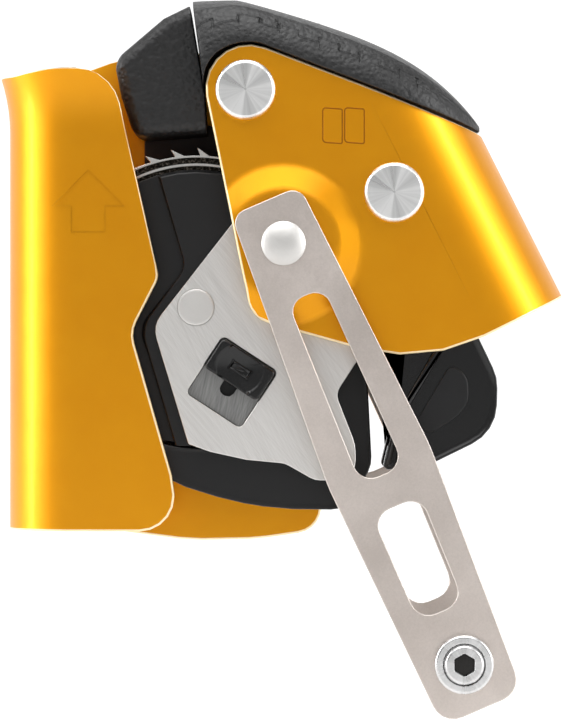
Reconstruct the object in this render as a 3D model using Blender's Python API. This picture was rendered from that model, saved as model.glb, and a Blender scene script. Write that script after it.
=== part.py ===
# Rope-grab fall arrester: a folded frame with a rope channel, a folded arm with a moulded grip, a toothed
# wheel in its carrier, a lock button, thumb catches and a swinging link for the lanyard.
# Sizes are in millimetres; x runs to the right, z up, and y away from the front.

import math

import bmesh
import bpy
from mathutils import Matrix, Vector
from mathutils.geometry import delaunay_2d_cdt

millimetre = 0.001

# Axes across the device, as (x, z); x = 0 is the centre of the channel's bend
mainPin = Vector((33.6, 42.0))
rearPin = Vector((63.3, 21.5))
linkPin = Vector((41.2, 11.2))
wheelAxle = Vector((23.6, -1.4))
linkLength = 91.0
linkTilt = math.radians(23.2)

# Rope channel and back plate
channelRadius = 14.5
channelWall = 3.0
channelBend = math.pi * (channelRadius - channelWall / 2)
channelFoot = -46.4
flareFrom = 34.0
flareHeight = 11.5
flareReach = 1.9
bossHole = 6.0

# Arm shell: a sheet folded round a bend that slopes with the device's back edge
armRadius = 17.6
armWall = 2.5
armBendTop = Vector((81.4, 33.7))
armBendFoot = Vector((98.0, 0.8))
armTopLeft = Vector((22.6, 56.3))
armLowLeft = Vector((34.8, -3.7))
armLowMiddle = Vector((69.1, -13.3))
armCornerRadius = 8.7
gripHalf = 19.0
domeFoot = 16.8
domeFlat = 10.0
domeHeight = 2.6
bendSteps = 18

# Wheel and its carrier
toothCount = 38
wheelRim = 30.9
toothTip = 32.6
wheelHalf = 5.0
ringBore = 25.5
hubRadius = 25.2
coverRadius = 27.8
shroudBore = 33.6
plateFront = -13.2
plateWall = 2.0
coverFront = -11.0
coverStep = -9.2
coverBack = -6.9
rearPlateBack = 11.2
axleRadius = 3.5

# Lock button in its slanted window
windowCentre = Vector((30.8, -16.5))
windowTurn = math.radians(-33.2)
windowWide = 13.1
windowLong = 13.6
buttonLong = 7.0
stemRadius = 1.3
lockTravel = 4.5

# Link strips, in the link's own directions: across it and along it from its pivot
linkInner = 21.3
linkWall = 2.0
linkEnd = 100.6
linkBelly = 48.0
gap = 0.3


# ---------------------------------------------------------------- outlines

def turned(vector, angle):
    return Matrix.Rotation(angle, 2) @ vector


def rounded(corners, step=18.0):
    # Closed outline through corners (x, z, fillet radius); each fillet becomes an arc of short chords
    points = []
    for index, (x, z, radius) in enumerate(corners):
        here = Vector((x, z))
        if radius == 0:
            points.append(here)
            continue
        before = (Vector(corners[index - 1][:2]) - here).normalized()
        after = (Vector(corners[(index + 1) % len(corners)][:2]) - here).normalized()
        half = before.angle(after) / 2
        centre = here + (before + after).normalized() * radius / math.sin(half)
        start = here + before * radius / math.tan(half) - centre
        sweep = math.copysign(math.pi - 2 * half, -before.cross(after))
        steps = max(1, math.ceil(math.degrees(abs(sweep)) / step))
        points += [centre + turned(start, sweep * k / steps) for k in range(steps + 1)]
    return points


def circle(centre, radius, count=32):
    spoke = Vector((radius, 0))
    return [centre + turned(spoke, 2 * math.pi * k / count) for k in range(count)]


def arc(centre, radius, start, end, count):
    spoke = Vector((radius, 0))
    return [centre + turned(spoke, math.radians(start + (end - start) * k / count)) for k in range(count + 1)]


def sector(centre, inner, outer, start, end, count=8):
    return arc(centre, outer, start, end, count) + arc(centre, inner, end, start, count)


def box(centre, wide, high, angle, radius):
    corners = []
    for side, rise in ((-1, -1), (1, -1), (1, 1), (-1, 1)):
        corner = centre + turned(Vector((side * wide / 2, rise * high / 2)), angle)
        corners.append((corner.x, corner.y, radius))
    return rounded(corners, 45)


def isInside(point, loops):
    # Even-odd rule over the outline and its holes
    inside = False
    for loop in loops:
        for a, b in zip(loop, loop[1:] + loop[:1]):
            if (a.y > point.y) != (b.y > point.y):
                if point.x < a.x + (point.y - a.y) / (b.y - a.y) * (b.x - a.x):
                    inside = not inside
    return inside


def triangulated(loops, guides=()):
    # Triangles between the outline and its holes, with edges kept along the guide lines
    points = []
    edges = []
    for loop in loops:
        first = len(points)
        points += loop
        edges += [(first + k, first + (k + 1) % len(loop)) for k in range(len(loop))]
    for guide in guides:
        first = len(points)
        points += guide
        edges += [(first + k, first + k + 1) for k in range(len(guide) - 1)]
    flat, _, faces, _, _, _ = delaunay_2d_cdt(points, edges, [], 0, 0.0005)
    kept = [face for face in faces if isInside(sum((flat[k] for k in face), Vector((0, 0))) / 3, loops)]
    return flat, kept


# ---------------------------------------------------------------- solids

def sheet(loops, place, guides=()):
    # Closed solid of a flat pattern; place(u, v, side) puts its front (side 0) and back (side 1) in space
    flat, faces = triangulated(loops, guides)
    mesh = bmesh.new()
    used = sorted({k for face in faces for k in face})
    front = {k: mesh.verts.new(place(flat[k].x, flat[k].y, 0)) for k in used}
    back = {k: mesh.verts.new(place(flat[k].x, flat[k].y, 1)) for k in used}
    directed = {(face[k], face[(k + 1) % 3]) for face in faces for k in range(3)}
    for face in faces:
        mesh.faces.new([front[k] for k in face])
        mesh.faces.new([back[k] for k in reversed(face)])
    for a, b in sorted(directed):
        if (b, a) not in directed:
            mesh.faces.new([front[b], front[a], back[a], back[b]])
    bmesh.ops.recalc_face_normals(mesh, faces=mesh.faces)
    return mesh


def plate(loops, low, high, guides=()):
    return sheet(loops, lambda u, v, side: (u, high if side else low, v), guides)


def lathe(centre, profile, count=32, closed=False):
    # Turned solid about an axis along y; the profile lists (radius, y)
    mesh = bmesh.new()
    verts = [mesh.verts.new((centre.x + radius, y, centre.y)) for radius, y in profile]
    edges = [mesh.edges.new(pair) for pair in zip(verts, verts[1:])]
    if closed:
        edges.append(mesh.edges.new((verts[-1], verts[0])))
    bmesh.ops.spin(mesh, geom=verts + edges, cent=(centre.x, 0, centre.y), axis=(0, 1, 0),
                   angle=2 * math.pi, steps=count, use_merge=True)
    bmesh.ops.remove_doubles(mesh, verts=mesh.verts, dist=0.001)
    bmesh.ops.recalc_face_normals(mesh, faces=mesh.faces)
    return mesh


def tube(centre, inner, outer, low, high, count=32):
    return lathe(centre, [(inner, low), (outer, low), (outer, high), (inner, high)], count, closed=True)


def rod(centre, radius, low, high, count=32):
    return lathe(centre, [(0, low), (radius, low), (radius, high), (0, high)], count)


# ---------------------------------------------------------------- objects

def paint(name, colour, metallic, roughness):
    material = bpy.data.materials.new(name)
    material.use_nodes = True
    shader = material.node_tree.nodes["Principled BSDF"]
    shader.inputs["Base Color"].default_value = (*colour, 1)
    shader.inputs["Metallic"].default_value = metallic
    shader.inputs["Roughness"].default_value = roughness
    return material


def addPart(name, mesh, look, pivot=None):
    # One named object, facing out; a moving piece hangs from the empty on its joint's axis
    if mesh.calc_volume(signed=True) < 0:
        bmesh.ops.reverse_faces(mesh, faces=mesh.faces)
    bmesh.ops.scale(mesh, vec=(millimetre,) * 3, verts=mesh.verts)
    data = bpy.data.meshes.new(name)
    mesh.to_mesh(data)
    mesh.free()
    data.shade_smooth()
    data.set_sharp_from_angle(angle=math.radians(32))
    data.materials.append(paint(name, *looks[look]))
    part = bpy.data.objects.new(name, data)
    bpy.context.collection.objects.link(part)
    if pivot:
        part.parent = pivot
        part.matrix_parent_inverse = pivot.matrix_world.inverted()
    return part


def addPivot(name, centre, parent=None):
    pivot = bpy.data.objects.new(name, None)
    pivot.empty_display_size = 0.01
    bpy.context.collection.objects.link(pivot)
    pivot.location = (centre.x * millimetre, 0, centre.y * millimetre)
    bpy.context.view_layer.update()
    if parent:
        pivot.parent = parent
        pivot.matrix_parent_inverse = parent.matrix_world.inverted()
        bpy.context.view_layer.update()
    return pivot


def combine(part, mesh, operation, solver="EXACT"):
    # Boolean with a hidden tool body
    tool = addPart(part.name + "_" + operation.lower(), mesh, "steel")
    tool.hide_render = True
    tool.display_type = "WIRE"
    modifier = part.modifiers.new(operation.title(), "BOOLEAN")
    modifier.operation = operation
    modifier.object = tool
    modifier.solver = solver


looks = {
    "gold": ((0.70, 0.29, 0.01), 1.0, 0.32),
    "black": ((0.012, 0.012, 0.013), 0.0, 0.45),
    "steel": ((0.62, 0.61, 0.60), 1.0, 0.30),
    "satin": ((0.46, 0.43, 0.41), 1.0, 0.42),
    "aluminium": ((0.72, 0.72, 0.72), 1.0, 0.30),
    "dark": ((0.05, 0.05, 0.055), 0.9, 0.50),
    "brass": ((0.60, 0.42, 0.15), 1.0, 0.35),
}


# ---------------------------------------------------------------- frame

def channelPlace(u, v, side):
    # The front flange has u > 0, then comes the bend, then the back plate; the top of the channel flares out
    rise = max(0.0, (v - flareFrom) / flareHeight)
    backX = -u - channelBend
    fade = min(1.0, max(0.0, 1 - backX / 8))
    reach = channelRadius - channelWall * side + flareReach * rise * rise * fade
    if u >= 0:
        return u, -reach, v
    if u > -channelBend:
        angle = -u / channelBend * math.pi
        return -reach * math.sin(angle), -reach * math.cos(angle), v
    return backX, reach, v


def makeFramePlate():
    front = [(19.3, channelFoot, 7), (19.3, -37.0, 14), (10.6, -6.4, 6), (16.2, 4.6, 3.5), (6.8, 46.5, 9),
             (-4.0, 46.5, 10), (-12.0, 45.1, 10)]
    back = [(-7.0, 45.1, 8), (8.0, 50.2, 20), (47.4, 52.9, 10), (36.5, 18.0, 12), (36.0, -8.0, 20),
            (49.2, -32.0, 12), (48.9, -47.0, 5.5), (36.0, -48.9, 30), (22.0, -49.2, 30), (7.0, -47.2, 15),
            (-8.0, channelFoot, 10)]
    outline = rounded(front + [(-x - channelBend, z, radius) for x, z, radius in back])
    hole = circle(Vector((-mainPin.x - channelBend, mainPin.y)), bossHole)
    folds = [-channelBend * k / bendSteps for k in range(bendSteps + 1)]
    guides = [[Vector((fold, -60)), Vector((fold, 60))] for fold in folds]
    guides.append([Vector((-channelBend - 8, 30)), Vector((-channelBend - 8, 60))])
    for level in range(5):
        height = flareFrom + level * flareHeight / 5
        guides.append([Vector((-channelBend - 8, height)), Vector((20, height))])
    addPart("frame_plate", sheet([outline, hole], channelPlace, guides), "gold")
    addPart("pivot_bush", tube(mainPin, 4.1, bossHole - 0.2, 11.6, 14.6), "brass")


# ---------------------------------------------------------------- arm

armDown = (armBendFoot - armBendTop).normalized()
armOut = Vector((-armDown.y, armDown.x))
armFold = armOut.dot(armBendTop) - armRadius
armBend = math.pi * (armRadius - armWall / 2)


def armFlat(point):
    # Flat-pattern place of a point on the front sheet: across the fold and along it
    return Vector((armOut.dot(point), armDown.dot(point)))


def domeRise(point):
    share = (domeFoot - (point - linkPin).length) / (domeFoot - domeFlat)
    share = min(1.0, max(0.0, share))
    return domeHeight * share * share * (3 - 2 * share)


def armPlace(u, v, side):
    reach = armRadius - armWall * side
    if u <= armFold:
        across, y, out = u, -reach, -1
    elif u < armFold + armBend:
        angle = (u - armFold) / armBend * math.pi
        across, y, out = armFold + reach * math.sin(angle), -reach * math.cos(angle), 0
    else:
        across, y, out = 2 * armFold + armBend - u, reach, 1
    point = armOut * across + armDown * v
    return point.x, y + out * domeRise(point), point.y


def behind(flat):
    # The same place on the rear sheet
    return Vector((2 * armFold + armBend - flat.x, flat.y))


def edgeOnFold(start, end, angle):
    # Where a straight edge, seen from the front, runs over the fold at this bend angle
    start = armFlat(start)
    end = armFlat(end)
    across = armFold + armRadius * math.sin(angle)
    along = start.y + (end.y - start.y) * (across - start.x) / (end.x - start.x)
    return Vector((armFold + armBend * angle / math.pi, along))


def makeArmShell():
    corners = [(*armTopLeft, armCornerRadius), (*armLowLeft, 6.0), (*armLowMiddle, 36.0),
               (*armBendFoot, 0), (*armBendTop, 0)]
    front = [armFlat(point) for point in rounded(corners)]
    front = [point for point in front if point.x < armFold]
    angles = [math.pi * k / bendSteps for k in range(bendSteps + 1)]
    foot = [edgeOnFold(armLowMiddle, armBendFoot, angle) for angle in angles]
    top = [edgeOnFold(armTopLeft, armBendTop, angle) for angle in reversed(angles)]
    outline = front + foot + [behind(point) for point in reversed(front)] + top
    loops = [outline]
    folds = [armFold + armBend * k / bendSteps for k in range(bendSteps + 1)]
    guides = [[Vector((fold, -60)), Vector((fold, 110))] for fold in folds]
    for place in (lambda point: point, behind):
        for centre, radius in ((mainPin, 4.2), (rearPin, 3.7), (linkPin, 3.2)):
            loops.append([place(armFlat(point)) for point in circle(centre, radius, 24)])
        for step in range(5):
            radius = domeFlat + (domeFoot - domeFlat) * step / 4
            ring = [place(armFlat(point)) for point in circle(linkPin, radius, 36)]
            guides.append(ring + ring[:1])
    addPart("arm_shell", sheet(loops, armPlace, guides), "gold", armPivot)


def gripTop(x):
    # Crown line of the grip: a long arch that falls faster at its rear end
    share = (x - 32.0) / 50.0
    if share < 0:
        return 61.1 - 12 * share * share
    return 61.1 - 13.2 * share - 3.6 * share ** 2 - 10.2 * share ** 5


def gripFoot(x):
    slope = (armBendTop.y - armTopLeft.y) / (armBendTop.x - armTopLeft.x)
    return armTopLeft.y + slope * (x - armTopLeft.x) + 0.4


def armCorner():
    # Arc that runs just outside the arm's rounded top left corner
    before = (armLowLeft - armTopLeft).normalized()
    after = (armBendTop - armTopLeft).normalized()
    half = before.angle(after) / 2
    centre = armTopLeft + (before + after).normalized() * armCornerRadius / math.sin(half)
    high = math.degrees(math.atan2(after.x, -after.y))
    return arc(centre, armCornerRadius + 0.4, high, 178, 8)


def gripWidth(u):
    # Half width of the grip, which narrows where the arm's sheet folds round its rear end
    past = max(0.0, armOut.dot(Vector((u, gripFoot(u)))) - armFold)
    return math.sqrt(max(0.0, armRadius ** 2 - past * past)) + gripHalf - armRadius


def gripPlace(u, across, v):
    # Rounds the prism's top down towards both sides; across runs from -1 to 1
    height = gripTop(u) - gripFoot(u)
    share = min(1.0, max(0.0, (v - gripFoot(u)) / height))
    limit = min(1.0, height / 9) if u > 40 else 1.0
    drop = 4.4 * limit * abs(across) ** 2.6 * share
    return u, across * gripWidth(u), v - drop


def gripOutline():
    # Side view of the grip: a crown with shallow cross grooves, and a foot that follows the arm's edge
    start, end, pitch, first = 22.8, 81.0, 8.0, 31.9
    grooves = [first + pitch * k for k in range(6)]
    stations = [start + (end - start) * k / 18 for k in range(19)]
    crown = [Vector((x, gripTop(x))) for x in stations
             if all(abs(x - groove) > 1.2 for groove in grooves)]
    for groove in grooves:
        for shift, depth in ((-0.8, 0), (-0.5, 0.45), (0.5, 0.45), (0.8, 0)):
            crown.append(Vector((groove + shift, gripTop(groove + shift) - depth)))
    crown.sort(key=lambda point: point.x)
    return crown + [Vector((x, gripFoot(x))) for x in (end, 77.5, 74.0, 69.0, 64.0, 46.0)] + armCorner()


def makeGrip():
    outline = gripOutline()
    faces = triangulated([outline])[1]
    levels = (-1, -0.96, -0.84, -0.63, -0.34, 0, 0.34, 0.63, 0.84, 0.96, 1)
    mesh = bmesh.new()
    rings = [[mesh.verts.new(gripPlace(point.x, across, point.y)) for point in outline] for across in levels]
    count = len(outline)
    for near, far in zip(rings, rings[1:]):
        for k in range(count):
            mesh.faces.new([near[k], near[(k + 1) % count], far[(k + 1) % count], far[k]])
    for face in faces:
        mesh.faces.new([rings[0][k] for k in face])
        mesh.faces.new([rings[-1][k] for k in reversed(face)])
    bmesh.ops.recalc_face_normals(mesh, faces=mesh.faces)
    grip = addPart("grip", mesh, "black", armPivot)
    key = ((46.5, 1.0), (46.5, -2.5), (58.0, -2.5), (58.0, 1.0))
    keyOutline = [Vector((x, gripFoot(x) + rise)) for x, rise in key]
    combine(grip, plate([keyOutline], -14.7, 14.7), "UNION", "MANIFOLD")
    slotOutline = [Vector((10.0, 39.0)), Vector((45.5, 39.0)), Vector((45.5, 49.4)), Vector((22.0, 57.05)),
                   Vector((10.0, 61.0))]
    for low in (-15.07, 11.13):
        combine(grip, plate([slotOutline], low, low + 3.9), "DIFFERENCE", "MANIFOLD")


def makeNose():
    outline = rounded([(6.9, 47.8, 1), (9.0, 51.2, 4), (17.0, 56.8, 20), (22.1, 59.3, 1), (24.9, 42.8, 0),
                       (25.6, 34.0, 1), (12.4, 32.7, 2), (9.9, 33.6, 1.5), (8.6, 41.0, 10)])
    addPart("nose", plate([outline], -10.8, 10.8), "black", armPivot)


def headedPin(name, centre, shank, head, reach, look="aluminium"):
    rim = 0.6
    profile = [(0, -reach), (head - rim, -reach), (head, -reach + rim), (head, -17.9), (shank, -17.9),
               (shank, 17.9), (head, 17.9), (head, reach - rim), (head - rim, reach), (0, reach)]
    addPart(name, lathe(centre, profile, 40), look, armPivot)


def makeSpring():
    # Torsion spring round the main pin's spacer
    turns, wire, radius, low, high = 6, 0.6, 6.4, -9.0, 6.0
    steps = turns * 16
    mesh = bmesh.new()
    rings = []
    for k in range(steps + 1):
        angle = 2 * math.pi * turns * k / steps
        spoke = Vector((math.cos(angle), 0, math.sin(angle)))
        middle = Vector((mainPin.x, low + (high - low) * k / steps, mainPin.y)) + spoke * radius
        ring = []
        for side in range(6):
            turn = 2 * math.pi * side / 6
            offset = spoke * math.cos(turn) + Vector((0, 1, 0)) * math.sin(turn)
            ring.append(mesh.verts.new(middle + offset * wire))
        rings.append(ring)
    for near, far in zip(rings, rings[1:]):
        for k in range(6):
            mesh.faces.new([near[k], near[(k + 1) % 6], far[(k + 1) % 6], far[k]])
    mesh.faces.new(rings[0])
    mesh.faces.new(rings[-1])
    bmesh.ops.recalc_face_normals(mesh, faces=mesh.faces)
    addPart("closing_spring", mesh, "steel", armPivot)


def makeRivets():
    for name, side in (("front", -1), ("rear", 1)):
        profile = [(0, 24.9), (2.2, 24.7), (3.7, 24.2), (4.5, 23.5), (3.0, 23.5), (3.0, 17.7), (4.6, 17.7),
                   (4.6, 16.6), (0, 16.6)]
        profile = [(radius, side * y) for radius, y in profile]
        addPart("link_rivet_" + name, lathe(linkPin, profile), "steel", armPivot)


def makeArm():
    makeArmShell()
    makeGrip()
    makeNose()
    headedPin("main_pin", mainPin, 4.0, 6.0, 20.0)
    headedPin("rear_pin", rearPin, 3.5, 6.0, 20.0)
    addPart("pivot_spacer", tube(mainPin, 4.2, 5.4, -14.8, 11.2), "steel", armPivot)
    addPart("rear_spacer", tube(rearPin, 3.7, 5.4, -10.9, 9.2), "steel", armPivot)
    makeSpring()
    makeRivets()


# ---------------------------------------------------------------- carrier

def sidePlateOutline():
    return rounded([(14.9, -5.1, 5), (22.1, -28.9, 0), (30.0, -31.7, 30), (41.5, -32.8, 4), (47.5, -36.2, 4),
                    (55.7, -36.2, 4), (55.7, -29.0, 8), (51.7, -18.8, 3), (60.0, -6.0, 12), (71.0, 14.5, 7),
                    (71.0, 28.6, 7), (58.0, 28.6, 9), (38.0, 24.5, 10)])


def makeSidePlates():
    window = box(windowCentre, windowWide, windowLong, windowTurn, 0.9)
    holes = [circle(wheelAxle, 3.6), circle(rearPin, 3.6)]
    addPart("front_plate", plate([sidePlateOutline(), window] + holes, plateFront, plateFront + plateWall),
            "steel", armPivot)
    addPart("rear_plate", plate([sidePlateOutline()] + holes, rearPlateBack - 1.7, rearPlateBack),
            "steel", armPivot)


def makeCovers():
    # The front cover is a disc with a raised face, which holds the lock slide's pocket
    disc = circle(wheelAxle, coverRadius, 64)
    front = addPart("front_cover", plate([disc, circle(wheelAxle, 3.6)], coverStep, coverBack),
                    "black", armPivot)
    edge = rounded([(15.9, 26.9, 0), (21.5, 6.6, 2.5), (12.2, -5.4, 5), (19.4, -29.4, 0)])
    face = [point for point in edge if (point - wheelAxle).length < coverRadius - gap]
    face += arc(wheelAxle, coverRadius - gap, -96, 106, 30)
    pocket = box(windowCentre, windowWide + 0.2, windowLong + 0.2, windowTurn, 0.6)
    raised = plate([face, pocket, circle(wheelAxle, 3.9)], coverFront, coverStep + 0.5)
    combine(front, raised, "UNION")
    addPart("rear_cover", plate([disc, circle(wheelAxle, 3.6)], -coverBack, -coverStep),
            "black", armPivot)


def makeShroud():
    inner = arc(wheelAxle, coverRadius + 0.5, -8, -104, 24)
    outline = inner + [Vector((16.8, -35.6))] + rounded([(19.0, -36.4, 0), (21.5, -37.6, 3), (30.5, -40.4, 40),
                                                        (40.0, -42.0, 40), (54.5, -42.2, 6), (59.0, -33.0, 6),
                                                        (57.6, -5.6, 2)])
    shroud = addPart("wheel_shroud", plate([outline], coverFront, -coverStep), "black", armPivot)
    combine(shroud, rod(wheelAxle, shroudBore, -7.2, 7.2, 64), "DIFFERENCE")


def makeCarrier():
    makeSidePlates()
    makeCovers()
    makeShroud()
    axle = [(0, -13.9), (3.0, -13.9), (3.7, -13.6), (3.7, -13.35), (axleRadius, -13.35),
            (axleRadius, rearPlateBack), (0, rearPlateBack)]
    addPart("wheel_axle", lathe(wheelAxle, axle), "steel", armPivot)
    teeth = []
    for k in range(24):
        teeth.append(wheelAxle + turned(Vector((22.6, 0)), 2 * math.pi * k / 24))
        teeth.append(wheelAxle + turned(Vector((21.2, 0)), 2 * math.pi * (k + 0.9) / 24))
    addPart("ratchet_ring", plate([circle(wheelAxle, 24.8, 48), teeth], 5.2, 6.6), "steel", armPivot)


# ---------------------------------------------------------------- wheel

def makeWheel():
    rim = []
    for k in range(toothCount):
        # Each tooth leans forward, so that its tip stands past its foot
        for turn, radius in ((0, wheelRim), (4.7, toothTip), (3.4, wheelRim), (6.6, wheelRim)):
            angle = math.radians(360 * k / toothCount + turn)
            rim.append(wheelAxle + turned(Vector((radius, 0)), angle))
    ring = plate([rim, circle(wheelAxle, ringBore, 48)], -wheelHalf, wheelHalf)
    addPart("wheel_ring", ring, "dark", wheelPivot)
    pockets = [sector(wheelAxle, 9.5, 22.4, start - 4, start + 108, 10) for start in (30, 210)]
    pinHoles = [circle(flyPivot(start), 1.6, 16) for start in (30, 210)]
    disc = [circle(wheelAxle, hubRadius, 48), circle(wheelAxle, 6.0)]
    addPart("wheel_hub", plate(disc + pockets, -4.2, 4.2), "black", wheelPivot)
    for name, hole, start in (("a", pinHoles[0], 30), ("b", pinHoles[1], 210)):
        pin = lathe(flyPivot(start), [(0, -4.7), (1.5, -4.7), (1.5, 4.7), (0, 4.7)], 16)
        addPart("flyweight_pin_" + name, pin, "steel", wheelPivot)
        outline = sector(wheelAxle, 11.2, 19.6, start + 1, start + 97, 10)
        pivot = addPivot("fly_pivot_" + name, flyPivot(start), wheelPivot)
        addPart("flyweight_" + name, plate([outline, hole], -3.9, 3.9), "brass", pivot)
    bearing = tube(wheelAxle, axleRadius + 0.1, 5.8, -wheelHalf, wheelHalf)
    addPart("wheel_bearing", bearing, "brass", wheelPivot)


def flyPivot(start):
    return wheelAxle + turned(Vector((15.4, 0)), math.radians(start + 10))


# ---------------------------------------------------------------- lock and catches

def makeLock():
    # The button rides over a steel floor plate; its stem runs in the plate's slot
    up = turned(Vector((0, 1)), windowTurn)
    high = windowCentre + up * (windowLong / 2 - 0.25 - buttonLong / 2)
    cap = plate([box(high, windowWide - 0.5, buttonLong, windowTurn, 0.8)], -14.6, -11.1)
    button = addPart("lock_button", cap, "black", lockPivot)
    dish = lathe(high, [(0, -16.0), (7.0, -16.0), (4.6, -14.3), (2.0, -13.7), (0, -13.6)], 24)
    combine(button, dish, "DIFFERENCE")
    combine(button, rod(high, stemRadius, -11.6, -9.6, 16), "UNION")
    floor = box(windowCentre, windowWide - 0.2, windowLong - 0.2, windowTurn, 0.6)
    slotLong = lockTravel + 2 * stemRadius + 0.6
    slot = box(high - up * lockTravel / 2, 2 * stemRadius + 0.5, slotLong, windowTurn, stemRadius)
    addPart("lock_floor", plate([floor, slot], -10.8, -9.5), "steel", armPivot)


def makeCatches():
    ear = 5.6
    corners = [(rearPin.x + ear, rearPin.y + ear, ear - 0.1), (rearPin.x - ear, rearPin.y + ear, ear - 0.1),
               (rearPin.x - ear, 4.0, 10), (59.4, -18.0, 6), (62.9, -26.2, 6), (61.0, -34.2, 1), (71.0, -32.8, 5),
               (83.9, -26.5, 9), (84.2, -15.5, 9), (78.6, -4.0, 8), (71.5, 4.0, 12)]
    outline = rounded(corners)
    hole = circle(rearPin, 3.65)
    guides = [[Vector((50, -12.0)), Vector((95, -12.0))], [Vector((50, -12.6)), Vector((95, -12.6))]]
    for name, side, pivot in (("front", -1, catchFrontPivot), ("rear", 1, catchRearPivot)):
        def place(u, v, back, side=side):
            inner = 13.55 if v > -12.3 else 8.6
            return u, side * (inner if back else 14.7), v
        addPart("catch_" + name, sheet([outline, hole], place, guides), "black", pivot)


# ---------------------------------------------------------------- link

linkAlong = turned(Vector((0, -1)), linkTilt)
linkAcross = Vector((-linkAlong.y, linkAlong.x))
linkScrew = linkPin + linkAlong * linkLength


def onLink(across, along):
    return linkPin + linkAcross * across + linkAlong * along


def linkLoop(corners):
    turnedCorners = []
    for across, along, radius in corners:
        point = onLink(across, along)
        turnedCorners.append((point.x, point.y, radius))
    return rounded(turnedCorners)


def makeStrips():
    outline = linkLoop([(-7.4, -9.2, 3), (7.4, -9.2, 3), (10.95, linkBelly, 20), (8.6, linkEnd, 4.5),
                        (-8.8, linkEnd, 4.5), (-10.95, linkBelly, 20)])
    upperSlot = linkLoop([(-3.8, 11.3, 3.2), (3.8, 11.3, 3.2), (4.6, 50.0, 3.6), (-4.7, 50.0, 3.6)])
    lowerSlot = linkLoop([(-5.1, 56.8, 3.6), (5.2, 56.8, 3.6), (4.8, 79.6, 3.8), (-4.9, 79.6, 3.8)])
    loops = [outline, upperSlot, lowerSlot, circle(linkPin, 3.1), circle(linkScrew, 4.6)]
    outer = linkInner + linkWall
    for name, low, high in (("front", -outer, -linkInner), ("rear", linkInner, outer)):
        addPart("link_strip_" + name, plate(loops, low, high), "satin", linkPivot)
    for name, low in (("front", -21.05), ("rear", 20.45)):
        addPart("link_washer_" + name, tube(linkPin, 3.15, 6.8, low, low + 0.6), "black", linkPivot)


def makeLinkBolt():
    # Flanged barrel with a hex socket screw in its end, a spacer with a flat seat, and a flange nut
    barrel = [(2.6, 12.0), (4.45, 12.0), (4.45, -23.5), (5.9, -23.5), (5.9, -24.8), (5.5, -25.2), (4.2, -25.2),
              (4.2, -24.2), (2.6, -24.2)]
    addPart("link_barrel", lathe(linkScrew, barrel, closed=True), "steel", linkPivot)
    screw = lathe(linkScrew, [(0, 11.0), (2.45, 11.0), (2.45, -24.4), (3.9, -24.4), (3.9, -25.8), (3.5, -26.2),
                              (0, -26.2)])
    screwPart = addPart("link_screw", screw, "steel", linkPivot)
    hexagon = circle(linkScrew, 4.0 / math.sqrt(3), 6)
    hexagon = [linkScrew + turned(point - linkScrew, math.radians(30)) for point in hexagon]
    combine(screwPart, plate([hexagon], -27.0, -24.9), "DIFFERENCE")
    body = [onLink(across, linkLength + along) for across, along in
            [(-3.2, -6.2), (3.2, -6.2)] + [(6.8 * math.cos(a), 6.8 * math.sin(a)) for a in
                                           [math.radians(-52 + 284 * k / 24) for k in range(25)]]]
    addPart("link_spacer", plate([body, circle(linkScrew, 4.7)], -21.0, 21.0), "aluminium", linkPivot)
    nut = [(0, 20.0), (2.6, 20.0), (2.6, 13.0), (4.45, 13.0), (4.45, 23.5), (5.9, 23.5), (5.9, 25.0), (5.4, 25.5),
           (0, 25.5)]
    addPart("link_nut", lathe(linkScrew, nut), "steel", linkPivot)


# ---------------------------------------------------------------- the whole device

for item in list(bpy.data.objects):
    bpy.data.objects.remove(item, do_unlink=True)

armPivot = addPivot("arm_pivot", mainPin)
wheelPivot = addPivot("wheel_pivot", wheelAxle, armPivot)
lockPivot = addPivot("lock_pivot", windowCentre, armPivot)
catchFrontPivot = addPivot("catch_front_pivot", rearPin, armPivot)
catchRearPivot = addPivot("catch_rear_pivot", rearPin, armPivot)
linkPivot = addPivot("link_pivot", linkPin, armPivot)

makeFramePlate()
makeArm()
makeCarrier()
makeWheel()
makeLock()
makeCatches()
makeStrips()
makeLinkBolt()
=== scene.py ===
import math

import bmesh
import bpy
from mathutils import Matrix, Vector


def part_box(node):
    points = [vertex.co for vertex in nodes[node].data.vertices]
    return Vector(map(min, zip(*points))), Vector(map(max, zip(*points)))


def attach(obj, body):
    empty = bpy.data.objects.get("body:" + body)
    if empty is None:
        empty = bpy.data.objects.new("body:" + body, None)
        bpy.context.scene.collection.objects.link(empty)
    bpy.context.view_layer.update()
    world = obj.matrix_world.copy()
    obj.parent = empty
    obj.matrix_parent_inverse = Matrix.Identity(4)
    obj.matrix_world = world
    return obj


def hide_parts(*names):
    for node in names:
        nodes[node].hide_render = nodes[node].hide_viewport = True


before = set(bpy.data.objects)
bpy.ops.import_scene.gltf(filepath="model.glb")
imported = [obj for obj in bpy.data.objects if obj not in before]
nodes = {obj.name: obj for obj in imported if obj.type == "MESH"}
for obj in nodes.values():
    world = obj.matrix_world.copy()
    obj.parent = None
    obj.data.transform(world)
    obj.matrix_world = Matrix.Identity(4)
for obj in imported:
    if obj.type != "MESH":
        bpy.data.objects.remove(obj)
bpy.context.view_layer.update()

mm = 0.001


def linear(hexColour):
    # sRGB hex to the linear values that sockets hold
    channels = [int(hexColour[k:k + 2], 16) / 255 for k in (1, 3, 5)]
    return [c / 12.92 if c <= 0.04045 else ((c + 0.055) / 1.055) ** 2.4 for c in channels] + [1.0]


def addNode(tree, kind, settings=None, values=None, links=None):
    # One shader node with its settings, its fixed socket values and its incoming links
    node = tree.nodes.new(kind)
    for name, value in (settings or {}).items():
        setattr(node, name, value)
    for socket, value in (values or {}).items():
        node.inputs[socket].default_value = value
    for socket, source in (links or {}).items():
        tree.links.new(source, node.inputs[socket])
    return node


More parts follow.
